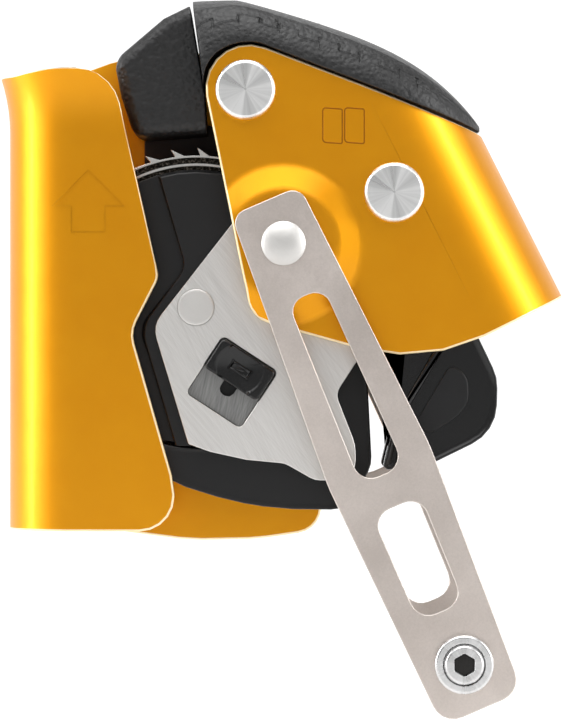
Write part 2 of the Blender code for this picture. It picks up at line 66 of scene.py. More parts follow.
def startMaterial(name, colour, metallic, roughness, extra=None):
    # A node material whose constants sit on the shader's own sockets
    material = bpy.data.materials.new(name)
    material.use_nodes = True
    shader = material.node_tree.nodes["Principled BSDF"]
    shader.inputs["Base Color"].default_value = linear(colour)
    shader.inputs["Metallic"].default_value = metallic
    shader.inputs["Roughness"].default_value = roughness
    for socket, value in (extra or {}).items():
        shader.inputs[socket].default_value = value
    return material, material.node_tree, shader


def patternSpace(tree, size, centre=(0, 0, 0), turn=0.0):
    # Object coordinates about a centre, turned in the front view and divided by a real size in millimetres
    spot = addNode(tree, "ShaderNodeTexCoord")
    place = {"Location": [value * mm for value in centre], "Rotation": (0, math.radians(turn), 0),
             "Scale": [value * mm for value in size]}
    mapping = addNode(tree, "ShaderNodeMapping", {"vector_type": "TEXTURE"}, place,
                      {"Vector": spot.outputs["Object"]})
    return mapping.outputs["Vector"]


def blendColours(tree, shader, factor, low, high):
    # The base colour runs from low to high with the factor
    colours = {6: linear(low), 7: linear(high)}
    mix = addNode(tree, "ShaderNodeMix", {"data_type": "RGBA"}, colours, {0: factor})
    tree.links.new(mix.outputs[2], shader.inputs["Base Color"])


def spread(tree, value, low, high, start=0.3, end=0.7):
    # A value between start and end becomes one between low and high
    limits = {"From Min": start, "From Max": end, "To Min": low, "To Max": high}
    return addNode(tree, "ShaderNodeMapRange", None, limits, {"Value": value}).outputs["Result"]


def relief(tree, shader, height, depth, strength=1.0):
    # Fine surface relief; the depth is in millimetres
    values = {"Strength": strength, "Distance": depth * mm}
    bump = addNode(tree, "ShaderNodeBump", None, values, {"Height": height})
    tree.links.new(bump.outputs["Normal"], shader.inputs["Normal"])


# edge, edgeLight and edgeMetallic give the rounded sheet edges a pale colour: a painted highlight
goldLook = {"dark": "#e8990c", "light": "#efa413", "edge": "#ffdf9c", "edgeLight": "#fff1cf",
            "grain": 0.22, "cloud": 9.0, "roughness": 0.4, "film": 0.3, "filmRoughness": 0.22,
            "edgeMetallic": 0.4}


def anodisedAluminium(name, edge=False, dark=goldLook["dark"], light=goldLook["light"]):
    # Sheet aluminium, etched matt and dyed gold by anodising: an even satin colour with a fine etched grain.
    # The clear oxide film over the dye gives lights a pale gloss of their own.
    material, tree, shader = startMaterial(name, goldLook["light"], 1.0, goldLook["roughness"],
                                           {"Coat Weight": goldLook["film"],
                                            "Coat Roughness": goldLook["filmRoughness"], "Coat IOR": 1.5})
    grain = addNode(tree, "ShaderNodeTexNoise", None, {"Scale": 1.0, "Detail": 4.0},
                    {"Vector": patternSpace(tree, [goldLook["grain"]] * 3)}).outputs["Fac"]
    cloud = addNode(tree, "ShaderNodeTexNoise", None, {"Scale": 1.0, "Detail": 2.0},
                    {"Vector": patternSpace(tree, [goldLook["cloud"]] * 3)}).outputs["Fac"]
    if edge:  # the edge's pale colour is a painted highlight
        shader.inputs["Metallic"].default_value = goldLook["edgeMetallic"]
        blendColours(tree, shader, cloud, goldLook["edge"], goldLook["edgeLight"])
    else:
        blendColours(tree, shader, cloud, dark, light)
    tree.links.new(spread(tree, grain, goldLook["roughness"] - 0.05, goldLook["roughness"] + 0.05),
                   shader.inputs["Roughness"])
    relief(tree, shader, grain, 0.012, 0.5)
    return material


plasticLook = {"dark": "#060606", "light": "#0e0e0f", "grain": 0.3, "roughness": 0.3}


def mouldedNylon(name, roughness=plasticLook["roughness"], dark=plasticLook["dark"],
                 light=plasticLook["light"], gloss=0.4):
    # Glass-filled nylon from a spark-eroded mould: black, with a very fine satin grain
    material, tree, shader = startMaterial(name, light, 0.0, roughness,
                                           {"IOR": 1.52, "Specular IOR Level": gloss})
    grain = addNode(tree, "ShaderNodeTexNoise", None, {"Scale": 1.0, "Detail": 3.0},
                    {"Vector": patternSpace(tree, [plasticLook["grain"]] * 3)}).outputs["Fac"]
    blendColours(tree, shader, grain, dark, light)
    tree.links.new(spread(tree, grain, roughness - 0.06, roughness + 0.06), shader.inputs["Roughness"])
    relief(tree, shader, grain, 0.01, 0.4)
    return material


rubberLook = {"dark": "#080808", "light": "#141415", "cell": 0.9, "pore": 0.25, "roughness": 0.4,
              "gloss": 0.55}


def grainedRubber(name):
    # Soft moulded elastomer with a leather grain: small rounded cells that catch broken glints
    roughness = rubberLook["roughness"]
    material, tree, shader = startMaterial(name, rubberLook["light"], 0.0, roughness,
                                           {"IOR": 1.5, "Specular IOR Level": rubberLook["gloss"]})
    cells = addNode(tree, "ShaderNodeTexVoronoi", {"feature": "SMOOTH_F1"},
                    {"Scale": 1.0, "Smoothness": 0.6, "Randomness": 1.0},
                    {"Vector": patternSpace(tree, [rubberLook["cell"]] * 3)}).outputs["Distance"]
    pores = addNode(tree, "ShaderNodeTexNoise", None, {"Scale": 1.0, "Detail": 3.0},
                    {"Vector": patternSpace(tree, [rubberLook["pore"]] * 3)}).outputs["Fac"]
    skin = addNode(tree, "ShaderNodeMath", {"operation": "MULTIPLY_ADD"}, {1: 0.35},
                   {0: pores, 2: cells}).outputs[0]
    shade = spread(tree, skin, 0.0, 1.0, 0.2, 1.0)
    blendColours(tree, shader, shade, rubberLook["dark"], rubberLook["light"])
    rough = spread(tree, skin, roughness - 0.06, roughness + 0.1, 0.2, 1.0)
    tree.links.new(rough, shader.inputs["Roughness"])
    relief(tree, shader, skin, 0.2, 0.8)
    return material


steelLook = {"plateDark": "#dddad6", "plateLight": "#f1efec", "linkDark": "#c9bfb8", "linkLight": "#e2d8d1",
             "brush": (0.09, 1.0, 22.0), "speck": 0.35}


def brushedSteel(name, dark, light, turn, roughness, size=steelLook["brush"]):
    # Stainless sheet, finished with an abrasive belt: long fine lines one way and a few loose scratches
    material, tree, shader = startMaterial(name, light, 1.0, roughness)
    lines = addNode(tree, "ShaderNodeTexNoise", None, {"Scale": 1.0, "Detail": 3.0, "Roughness": 0.6},
                    {"Vector": patternSpace(tree, size, turn=turn)}).outputs["Fac"]
    scratches = addNode(tree, "ShaderNodeTexNoise", None, {"Scale": 1.0, "Detail": 1.0},
                        {"Vector": patternSpace(tree, (0.2, 1.0, 30.0), turn=turn + 17)}).outputs["Fac"]
    worn = addNode(tree, "ShaderNodeMath", {"operation": "MULTIPLY_ADD"}, {1: 0.4},
                   {0: scratches, 2: lines}).outputs[0]
    blendColours(tree, shader, spread(tree, worn, 0.0, 1.0, 0.45, 0.95), dark, light)
    rough = spread(tree, worn, roughness - 0.06, roughness + 0.08, 0.45, 0.95)
    tree.links.new(rough, shader.inputs["Roughness"])
    relief(tree, shader, worn, 0.008, 0.35)
    return material


def tumbledSteel(name, dark, light, roughness):
    # Stamped steel, tumbled with stones: a soft even grey with a fine isotropic grain
    material, tree, shader = startMaterial(name, light, 1.0, roughness)
    specks = addNode(tree, "ShaderNodeTexNoise", None, {"Scale": 1.0, "Detail": 4.0, "Roughness": 0.6},
                     {"Vector": patternSpace(tree, [steelLook["speck"]] * 3)}).outputs["Fac"]
    cloud = addNode(tree, "ShaderNodeTexNoise", None, {"Scale": 1.0, "Detail": 2.0},
                    {"Vector": patternSpace(tree, (18, 18, 18))}).outputs["Fac"]
    tone = addNode(tree, "ShaderNodeMath", {"operation": "MULTIPLY_ADD"}, {1: 0.5},
                   {0: specks, 2: cloud}).outputs[0]
    blendColours(tree, shader, spread(tree, tone, 0.0, 1.0, 0.5, 1.0), dark, light)
    tree.links.new(spread(tree, specks, roughness - 0.05, roughness + 0.07), shader.inputs["Roughness"])
    relief(tree, shader, specks, 0.008, 0.4)
    return material


def turnedMetal(name, centre, dark, light, roughness, ring=0.3, rays=0.75):
    # Bar faced on a lathe: fine concentric tool marks in the relief; the bright and dull rays from the centre
    # are painted reflection, and a dark spot at the centre is painted shade in the centre drill's hole
    material, tree, shader = startMaterial(name, light, 1.0, roughness)
    flat = addNode(tree, "ShaderNodeVectorMath", {"operation": "MULTIPLY"}, {1: (1, 0, 1)},
                   {0: patternSpace(tree, (1, 1, 1), centre)}).outputs["Vector"]
    radius = addNode(tree, "ShaderNodeVectorMath", {"operation": "LENGTH"}, None, {0: flat}).outputs["Value"]
    around = addNode(tree, "ShaderNodeVectorMath", {"operation": "NORMALIZE"}, None,
                     {0: flat}).outputs["Vector"]
    fine = addNode(tree, "ShaderNodeTexNoise", None, {"Scale": 7.0, "Detail": 3.0},
                   {"Vector": around}).outputs["Fac"]
    broad = addNode(tree, "ShaderNodeTexNoise", None, {"Scale": 1.3, "Detail": 1.0},
                    {"Vector": around}).outputs["Fac"]
    # Painted reflection: bright and dull rays around the centre, as lathe marks throw them
    sheen = addNode(tree, "ShaderNodeMath", {"operation": "MULTIPLY_ADD"}, {1: 0.45},
                    {0: fine, 2: broad}).outputs[0]
    turns = addNode(tree, "ShaderNodeMath", {"operation": "MULTIPLY"}, {1: 2 * math.pi / ring},
                    {0: radius}).outputs[0]
    toolMarks = addNode(tree, "ShaderNodeMath", {"operation": "SINE"}, None, {0: turns}).outputs[0]
    tone = spread(tree, sheen, 1.0 - rays, 1.0, 0.55, 0.85)
    drillHoleShade = spread(tree, radius, 0.0, 1.0, 0.12, 0.3)  # painted shade in the centre drill's hole
    shade = addNode(tree, "ShaderNodeMath", {"operation": "MULTIPLY"}, None, {0: tone, 1: drillHoleShade}).outputs[0]
    blendColours(tree, shader, shade, dark, light)
    rough = spread(tree, sheen, roughness - 0.05, roughness + 0.06, 0.55, 0.85)
    tree.links.new(rough, shader.inputs["Roughness"])
    relief(tree, shader, toolMarks, 0.002, 0.3)
    return material


def wheelSteel(name, centre, rim):
    # Case-hardened steel: blackened and speckled on its side; the teeth and one thin ring near the rim are
    # light grey and glossier
    material, tree, shader = startMaterial(name, "#3a3836", 1.0, 0.42)
    flat = addNode(tree, "ShaderNodeVectorMath", {"operation": "MULTIPLY"}, {1: (1, 0, 1)},
                   {0: patternSpace(tree, (1, 1, 1), centre)}).outputs["Vector"]
    radius = addNode(tree, "ShaderNodeVectorMath", {"operation": "LENGTH"}, None, {0: flat}).outputs["Value"]
    rimLight = spread(tree, radius, 0.0, 1.0, rim - 0.5, rim - 0.35)
    offset = addNode(tree, "ShaderNodeMath", {"operation": "SUBTRACT"}, {1: rim - 1.9},
                     {0: radius}).outputs[0]
    distance = addNode(tree, "ShaderNodeMath", {"operation": "ABSOLUTE"}, None, {0: offset}).outputs[0]
    groove = spread(tree, distance, 1.0, 0.0, 0.15, 0.3)
    bright = addNode(tree, "ShaderNodeMath", {"operation": "MAXIMUM"}, None,
                     {0: rimLight, 1: groove}).outputs[0]
    specks = addNode(tree, "ShaderNodeTexNoise", None, {"Scale": 1.0, "Detail": 4.0, "Roughness": 0.7},
                     {"Vector": patternSpace(tree, (0.5, 0.5, 0.5))}).outputs["Fac"]
    band = addNode(tree, "ShaderNodeMix", {"data_type": "RGBA"}, {6: linear("#15130f"), 7: linear("#8d857b")},
                   {0: spread(tree, specks, 0.0, 1.0, 0.5, 0.7)}).outputs[2]
    mix = addNode(tree, "ShaderNodeMix", {"data_type": "RGBA"}, {7: linear("#eceae6")}, {0: bright, 6: band})
    tree.links.new(mix.outputs[2], shader.inputs["Base Color"])
    tree.links.new(spread(tree, bright, 0.45, 0.26, 0.0, 1.0), shader.inputs["Roughness"])
    relief(tree, shader, specks, 0.03, 0.4)
    return material


anodisedSheet = anodisedAluminium("anodised_aluminium_gold")
# Pale gold for the rounded edges of the sheets: a painted highlight
anodisedEdgeHighlight = anodisedAluminium("anodised_aluminium_edge_painted_highlight", edge=True)
# Darker gold for the pressed marks: painted shade of the pressed grooves
anodisedMarkShade = anodisedAluminium("anodised_aluminium_pressed_mark_painted_shade", dark="#9c5f04", light="#aa6906")
gripRubber = grainedRubber("moulded_rubber_grained")
# Smooth top zone and pads of the grip: a glossier finish of their own, and a lighter grey that is painted
# sheen from the top light
gripPadsSheen = mouldedNylon("moulded_rubber_smooth_painted_sheen", 0.38, "#2b2b2c", "#373739", 0.9)
coverNylon = mouldedNylon("moulded_nylon_satin", 0.42, "#0c0c0d", "#171718", 0.36)
glossNylon = mouldedNylon("moulded_nylon_gloss", 0.2, gloss=0.5)
# Dark brown for the sheet behind the wheel: painted shade
paintedShadeBrown = mouldedNylon("painted_shade_brown", 0.5, "#1c1512", "#3a2c26")
plateSteel = brushedSteel("brushed_steel_plate", steelLook["plateDark"], steelLook["plateLight"], -42, 0.36)
linkSteel = tumbledSteel("tumbled_steel_link", steelLook["linkDark"], steelLook["linkLight"], 0.4)
# A lighter steel for the link's rounded edges: a painted highlight
linkEdgeHighlight = tumbledSteel("tumbled_steel_edge_painted_highlight", "#d3cac3", "#ece3dc", 0.34)
floorSteel = brushedSteel("scratched_steel_floor", "#7d7d7d", "#a5a5a3", 12, 0.42, (0.4, 1.0, 6.0))
zincSteel = tumbledSteel("zinc_plated_steel", "#c9c9c8", "#e6e6e5", 0.3)
rivetSteel = tumbledSteel("polished_rivet_steel", "#cfcdca", "#dcdad7", 0.48)
plainBrass = tumbledSteel("machined_brass", "#a8843c", "#caa24e", 0.36)
# Near-black steel for the floor of the screw socket: painted shade
socketShade = tumbledSteel("painted_shade_socket", "#2c2b2a", "#454443", 0.45)
springSteel = tumbledSteel("drawn_spring_steel", "#8d8d8d", "#b5b5b5", 0.32)
print("materials ready")


def copyOf(nodeName, merge=0.02, flatness=0.6):
    # A CAD node's shape with its loose triangles merged into flat faces
    mesh = bmesh.new()
    mesh.from_mesh(nodes[nodeName].data)
    bmesh.ops.remove_doubles(mesh, verts=mesh.verts, dist=merge * mm)
    bmesh.ops.dissolve_limit(mesh, angle_limit=math.radians(flatness), use_dissolve_boundaries=False,
                             verts=mesh.verts, edges=mesh.edges, delimit=set())
    return mesh


def addPiece(name, mesh, body, materials, replaced=(), edge=None, segments=3, edgeMaterial=-1):
    # Stores a mesh as a visible piece that rides on a body; its edges are rounded when a width is given
    data = bpy.data.meshes.new(name)
    mesh.to_mesh(data)
    mesh.free()
    stored = data.attributes.get("custom_normal")
    if stored:
        data.attributes.remove(stored)
    data.shade_smooth()
    data.materials.clear()
    for material in materials:
        data.materials.append(material)
    piece = bpy.data.objects.new(name, data)
    bpy.context.scene.collection.objects.link(piece)
    if edge:
        bevel = piece.modifiers.new("edges", "BEVEL")
        bevel.width = edge * mm
        bevel.segments = segments
        bevel.limit_method = "ANGLE"
        bevel.angle_limit = math.radians(32)
        bevel.material = edgeMaterial
        bevel.use_clamp_overlap = False
        bevel.miter_outer = "MITER_ARC"
        normals = piece.modifiers.new("normals", "WEIGHTED_NORMAL")
        normals.weight = 60
    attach(piece, body)
    if replaced:
        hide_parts(*replaced)
    return piece


def softened(nodeName, body, materials, edge, segments=3, edgeMaterial=-1, merge=0.1):
    # A CAD node's own shape with rounded edges
    return addPiece("shaped_" + nodeName, copyOf(nodeName, merge), body, materials, [nodeName],
                    edge, segments, edgeMaterial)


def refinish(nodeName, material):
    # A hidden CAD node keeps its mesh and gets a real material
    nodes[nodeName].material_slots[0].material = material


def middle(nodeName):
    # Centre of a node's box at rest, in millimetres
    low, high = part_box(nodeName)
    return [(a + b) / 2 / mm for a, b in zip(low, high)]


def facing(mesh, y):
    # The faces that look straight to the front (y = -1) or straight to the back (y = 1)
    mesh.normal_update()
    return [face for face in mesh.faces if face.normal.y * y > 0.995]


def drawFace(corners, depth):
    # A flat face in the front view; each corner is (x, z, how far its rounding starts from it)
    mesh = bmesh.new()
    verts = [mesh.verts.new((x * mm, depth * mm, z * mm)) for x, z, _ in corners]
    mesh.faces.new(verts)
    for vert, (_, _, start) in zip(verts, corners):
        if start:
            bmesh.ops.bevel(mesh, geom=[vert], offset=start * mm, offset_type="OFFSET", segments=5,
                            profile=0.5, affect="VERTICES", material=-1)
    return mesh


def thicken(mesh, y):
    # Pulls the drawn faces along y into a closed slab
    grown = bmesh.ops.extrude_face_region(mesh, geom=mesh.faces[:])
    verts = [item for item in grown["geom"] if isinstance(item, bmesh.types.BMVert)]
    bmesh.ops.translate(mesh, verts=verts, vec=(0, y * mm, 0))
    bmesh.ops.recalc_face_normals(mesh, faces=mesh.faces)
    return mesh


def outlineBead(corners, depth, wide, high):
    # A drawn shape's outline as a low bead that stands on the surface
    mesh = drawFace(corners, depth)
    bmesh.ops.inset_region(mesh, faces=mesh.faces[:], thickness=wide * mm, use_even_offset=True,
                           use_boundary=True)
    inner = max(mesh.faces, key=lambda face: face.calc_area())
    bmesh.ops.delete(mesh, geom=[inner], context="FACES")
    return thicken(mesh, high)


sheets = {"frameEdge": 0.42, "frameMerge": 0.4, "flareFrom": 38.0, "flareEdge": 0.3, "sharpFrom": 0.55,
          "armEdge": 0.42, "armMerge": 0.25}


def addFrame():
    # Folded plate with a rounded edge in a pale colour, a painted highlight, which is narrower along the
    # short edges of the flared rim
    mesh = copyOf("frame_plate", sheets["frameMerge"])
    weight = mesh.edges.layers.float.new("bevel_weight_edge")
    for edge in mesh.edges:
        if edge.calc_face_angle(0) > sheets["sharpFrom"]:
            onFlare = max(vert.co.z for vert in edge.verts) >= sheets["flareFrom"] * mm
            edge[weight] = sheets["flareEdge"] if onFlare else 1.0
    piece = addPiece("shaped_frame_plate", mesh, "frame", [anodisedSheet, anodisedEdgeHighlight],
                     ["frame_plate"], sheets["frameEdge"], 3, 1)
    piece.modifiers["edges"].limit_method = "WEIGHT"


addFrame()
softened("arm_shell", "arm", [anodisedSheet, anodisedEdgeHighlight], sheets["armEdge"], 3, 1,
         sheets["armMerge"])

marks = {"arrowTip": (2.0, 26.1), "arrowWide": 14.4, "arrowHead": 7.2, "shaftWide": 6.8, "shaftLong": 12.4,
         "line": 0.4, "rise": 0.16, "booklet": (48.9, 57.5, 31.4, 38.6), "bookletLine": 0.3,
         "bookletRise": 0.06, "flangeFace": -14.5, "armFace": -17.6, "sunk": 0.05}


def addArrowMark():
    # Up arrow pressed into the channel's front flange, drawn as a low bead whose darker gold is painted shade
    # of the groove
    tipX, tipZ = marks["arrowTip"]
    headZ = tipZ - marks["arrowHead"]
    footZ = tipZ - marks["shaftLong"]
    head, shaft = marks["arrowWide"] / 2, marks["shaftWide"] / 2
    corners = [(tipX, tipZ, 0), (tipX - head, headZ, 0), (tipX - shaft, headZ, 0),
               (tipX - shaft, footZ, 0), (tipX + shaft, footZ, 0), (tipX + shaft, headZ, 0),
               (tipX + head, headZ, 0)]
    flange = max(marks["flangeFace"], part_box("frame_plate")[0].y / mm)
    bead = outlineBead(corners, flange + marks["sunk"], marks["line"], -marks["rise"] - marks["sunk"])
    addPiece("arrow_mark", bead, "frame", [anodisedMarkShade], edge=0.06, segments=2)


def addBookMark():
    # Open booklet, the usual sign for reading the instructions, pressed into the arm, drawn as low beads
    # whose darker gold is painted shade of the grooves
    left, right, low, high = marks["booklet"]
    spine = (left + right) / 2
    for side, (start, end) in (("left", (left, spine - 0.1)), ("right", (spine + 0.1, right))):
        corners = [(start, low, 0.8), (start, high, 0.8), (end, high - 0.3, 0.5), (end, low - 0.3, 0.5)]
        bead = outlineBead(corners, marks["armFace"] + marks["sunk"], marks["bookletLine"],
                           -marks["bookletRise"] - marks["sunk"])
        addPiece("booklet_mark_" + side, bead, "arm", [anodisedMarkShade], edge=0.05, segments=2)


addArrowMark()
addBookMark()
print("folded sheets ready")

grip = {"start": 25.2, "end": 81.0, "cornerX": 34.29, "cornerZ": 42.49, "cornerRadius": 9.1,
        "lean": 0.138, "pitch": 8.0, "firstNotch": 31.9, "notchLong": 1.0, "notchDeep": 0.55,
        "roundness": 0.75, "padLong": 4.0, "padRaise": 0.2, "noseRoll": 2.6, "crown": 61.1,
        "crownFrom": 32.0, "crownLong": 50.0, "foldRadius": 17.6, "overhang": 1.4}


def crownHeight(x):
    # Crown line of the grip: a short rise, then a long fall that steepens towards the rear end
    share = (x - grip["crownFrom"]) / grip["crownLong"]
    if share < 0:
        return grip["crown"] - 12 * share * share
    return grip["crown"] - 13.2 * share - 3.6 * share ** 2 - 10.2 * share ** 5


def footHeight(x):
    # The arm's top edge, which the grip sits on: a rounded corner and then a straight slope
    fromCorner = x - grip["cornerX"]
    if fromCorner > 3.27:
        return 56.7 - 0.3843 * (x - 22.6)
    return grip["cornerZ"] + math.sqrt(max(0.0, grip["cornerRadius"] ** 2 - fromCorner ** 2))


def halfWidth(x):
    # The grip overhangs the arm a little, and narrows with the arm's fold at its rear end
    past = max(0.0, 0.8928 * x + 0.4505 * footHeight(x) - 70.26)
    return math.sqrt(max(0.0, grip["foldRadius"] ** 2 - past * past)) + grip["overhang"]


def addGrip():
    # A block, cut into strips, whose section is then rounded into a soft arch over the arm
    mesh = bmesh.new()
    bmesh.ops.create_cube(mesh, size=1.0)
    start, end = grip["start"], grip["end"]
    length = end - start
    bmesh.ops.transform(mesh, verts=mesh.verts, matrix=Matrix.Translation((start + length / 2, 0, 0.5))
                        @ Matrix.Diagonal((length, 2, 1, 1)))
    cuts = [start + length * k / 60 for k in range(1, 60)] + [start + 0.1, start + 0.3]
    notches = [grip["firstNotch"] + grip["pitch"] * k for k in range(6)]
    pads = [(notch - grip["padLong"] + 0.3, notch + 0.3) for notch in notches]
    for notch in notches:
        cuts += [notch - 0.75, notch - grip["notchLong"] / 2, notch + grip["notchLong"] / 2, notch + 0.75]
    for padStart, padEnd in pads:
        cuts += [padStart - 0.1, padStart, padEnd, padEnd + 0.1]
    planes = [((x, 0, 0), (1, 0, 0)) for x in sorted(cuts)]
    planes += [((0, y, 0), (0, 1, 0)) for y in [-0.95 + 0.1 * k for k in range(20)] + [-0.1, 0.1]]
    planes += [((0, 0, z), (0, 0, 1)) for z in (0.15, 0.3, 0.45, 0.6, 0.62, 0.76, 0.78, 0.9)]
    for point, direction in planes:
        bmesh.ops.bisect_plane(mesh, geom=mesh.verts[:] + mesh.edges[:] + mesh.faces[:], plane_co=point,
                               plane_no=direction, dist=0.0001)
    mesh.normal_update()
    # The top zone and the pads take the lighter grey, which is painted sheen
    for face in mesh.faces:
        x, _, z = face.calc_center_median()
        inPad = any(padStart < x < padEnd for padStart, padEnd in pads)
        face.material_index = 1 if z > (0.61 if inPad else 0.77) else 0
    for vert in mesh.verts:
        x, across, rise = vert.co
        inPad = any(padStart - 0.05 < x < padEnd + 0.05 for padStart, padEnd in pads)
        raised = grip["padRaise"] if rise > (0.61 if inPad else 0.77) else 0.0
        onNotch = any(abs(x - notch) < grip["notchLong"] / 2 + 0.05 for notch in notches)
        if onNotch and abs(across) < 0.12 and rise > 0.99:
            raised -= grip["notchDeep"]
        arch = grip["roundness"] / 2
        low, high = footHeight(x), crownHeight(x) - grip["padRaise"]
        side = halfWidth(x) * across * math.sqrt(1 - rise * rise * arch)
        up = (high - low) * rise * math.sqrt(1 - across * across * arch)
        outward = Vector((0, across, rise * 1.2)).normalized() * raised if rise > 0.1 else Vector((0, 0, 0))
        height = low + up + outward.z
        leaning = max(0.0, 1 - (x - start) / 8.0) * grip["lean"] * (height - footHeight(start))
        vert.co = ((x - leaning) * mm, (side + outward.y) * mm, height * mm)
    bmesh.ops.recalc_face_normals(mesh, faces=mesh.faces)
    addPiece("grip_body", mesh, "arm", [gripRubber, gripPadsSheen], ["grip"], 0.25, 2)


def addNose():
    # Soft block in front of the grip; its free edges are rolled, and its end against the grip stays straight
    corners = [(7.0, 48.4, 0), (17.0, 56.9, 0), (22.3, 59.5, 0), (25.1, 42.8, 0), (25.8, 33.8, 0),
               (11.2, 32.7, 0), (8.5, 41.0, 0)]
    low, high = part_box("nose")
    mesh = thicken(drawFace(corners, low.y / mm), (high.y - low.y) / mm)
    seam = {vert for vert in mesh.verts if vert.co.x > 22 * mm}
    rolled = [edge for edge in mesh.edges
              if edge.calc_face_angle(0) > 0.5 and not seam.issuperset(edge.verts)]
    bmesh.ops.bevel(mesh, geom=rolled, offset=grip["noseRoll"] * mm, offset_type="OFFSET", segments=7,
                    profile=0.5, affect="EDGES", clamp_overlap=True, material=-1)
    addPiece("shaped_nose", mesh, "arm", [gripRubber], ["nose"], 0.3, 2)


addGrip()
addNose()
print("grip ready")

casing = {"coverRoll": 1.5, "coverStep": 1.75, "guardRim": 1.1, "guardRecess": 0.35, "catchRim": 1.5,
          "catchRecess": 0.9, "plateEdge": 0.22}


def addCover():
    # A flat disc, and on it a raised face whose open edge rolls off softly
    mesh = copyOf("front_cover", 0.01, 0)
    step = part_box("front_cover")[0].y + casing["coverStep"] * mm
    for vert in mesh.verts:
        vert.co.y = max(vert.co.y, step)
    bmesh.ops.remove_doubles(mesh, verts=mesh.verts[:], dist=0.01 * mm)
    addPiece("shaped_front_cover", mesh, "arm", [coverNylon], ["front_cover"], 0.2, 2)
    axle = middle("wheel_axle")
    corners = [(38.4, 21.8, 0)]
    for k in range(7):
        angle = math.radians(58 + 8 * k)
        corners.append((axle[0] + 27.4 * math.cos(angle), axle[2] + 27.4 * math.sin(angle), 0))
    corners += [(21.4, 6.6, 2.0), (12.3, -5.4, 3.0), (19.4, -29.3, 0), (24.2, -29.3, 0), (17.0, -5.6, 0)]
    face = thicken(drawFace(corners, -11.0), casing["coverStep"] + 0.1)
    rolled = []
    for edge in face.edges:
        start, end = [vert.co / mm for vert in edge.verts]
        onFront = max(start.y, end.y) < -10.95
        onLeft = all(point.x < 15.1 + abs(point.z + 5.4) * 0.36 + (2.4 if point.z > -5 else 0)
                     for point in (start, end))
        if onFront and onLeft and edge.calc_face_angle(0) > 1:
            rolled.append(edge)
    bmesh.ops.bevel(face, geom=rolled, offset=casing["coverRoll"] * mm, offset_type="OFFSET", segments=6,
                    profile=0.5, affect="EDGES", clamp_overlap=True, material=-1)
    addPiece("cover_face", face, "arm", [coverNylon], edge=0.12, segments=2)


def addRecessed(nodeName, body, side, rim, recess, edge, material):
    # A moulding whose outer face is sunk inside a rounded rim
    mesh = copyOf(nodeName)
    low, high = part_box(nodeName)
    level = low.y if side < 0 else high.y
    faces = [face for face in facing(mesh, side) if abs(face.calc_center_median().y - level) < 0.2 * mm]
    bmesh.ops.inset_region(mesh, faces=faces, thickness=rim * mm, use_even_offset=True)
    inner = {vert for face in faces for vert in face.verts}
    bmesh.ops.translate(mesh, verts=list(inner), vec=(0, -side * recess * mm, 0))
    addPiece("shaped_" + nodeName, mesh, body, [material], [nodeName], edge, 4)


def addCatchPads():
    # Inside each catch: a low thumb pad and a slanting rib
    for nodeName, side in (("catch_front", -1), ("catch_rear", 1)):
        level = 14.7 * side - casing["catchRecess"] * side
        pad = drawFace([(74.6, -12.8, 1.5), (67.6, -24.6, 1.0), (70.4, -27.0, 1.5), (76.0, -23.6, 1.5),
                        (78.4, -20.5, 1.5), (78.2, -15.0, 2.0)], level - 0.3 * side)
        addPiece(nodeName + "_pad", thicken(pad, 0.75 * side), nodeName, [coverNylon],
                 edge=0.35)
        rib = drawFace([(73.6, -9.5, 0.4), (71.6, -9.5, 0.4), (64.2, -22.5, 0.4), (65.8, -22.5, 0.4)],
                       level - 0.3 * side)
        addPiece(nodeName + "_rib", thicken(rib, 1.15 * side), nodeName, [glossNylon],
                 edge=0.6, segments=4)


def addButtonRelief():
    # A small framed bar in the dish of the lock button, for the thumb nail
    low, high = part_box("lock_button")
    x, z = (low.x + high.x) / 2 / mm, (low.z + high.z) / 2 / mm
    turn = Matrix.Rotation(math.radians(-33.2), 2)
    corners = []
    for across, rise in ((-2.3, -0.95), (2.3, -0.95), (2.3, 0.95), (-2.3, 0.95)):
        spot = turn @ Vector((across, rise))
        corners.append((x + spot.x, z + spot.y, 0.25))
    addPiece("lock_button_frame", outlineBead(corners, -13.3, 0.5, -0.75), "lock",
             [glossNylon], edge=0.15, segments=2)
    bar = drawFace([((a - x) * 0.45 + x, (b - z) * 0.3 + z, 0) for a, b, _ in corners], -13.3)
    addPiece("lock_button_bar", thicken(bar, -0.7), "lock", [glossNylon], edge=0.12,
             segments=2)


def addShadeSheet():
    # Dark brown sheet behind the wheel's open sector: painted shade, where the gold back plate lies in shade
    corners = [(12.6, 25.0, 1), (12.6, 35.5, 2), (27.0, 36.5, 2), (36.0, 25.5, 2), (30.0, 22.0, 2),
               (18.0, 22.0, 1)]
    addPiece("painted_shade_sheet_rear", thicken(drawFace(corners, 9.6), 1.3), "arm",
             [paintedShadeBrown], edge=0.3, segments=2)


addCover()
softened("rear_cover", "arm", [coverNylon], 0.5)
addRecessed("wheel_shroud", "arm", -1, casing["guardRim"], casing["guardRecess"], 0.5, coverNylon)
addRecessed("catch_front", "catch_front", -1, casing["catchRim"], casing["catchRecess"], 0.7, glossNylon)
addRecessed("catch_rear", "catch_rear", 1, casing["catchRim"], casing["catchRecess"], 0.7, glossNylon)
addCatchPads()
softened("lock_button", "lock", [glossNylon], 0.4)
addButtonRelief()
addShadeSheet()
softened("front_plate", "arm", [plateSteel], casing["plateEdge"])
softened("rear_plate", "arm", [plateSteel], casing["plateEdge"])
print("casing ready")

for pinName in ("main_pin", "rear_pin"):
    pinMetal = turnedMetal("turned_aluminium_" + pinName, middle(pinName), "#d8d8d7", "#fbfbfa", 0.32)
    softened(pinName, "arm", [pinMetal], 0.25)
for rivetName in ("link_rivet_front", "link_rivet_rear"):
    softened(rivetName, "arm", [rivetSteel], 0.15)


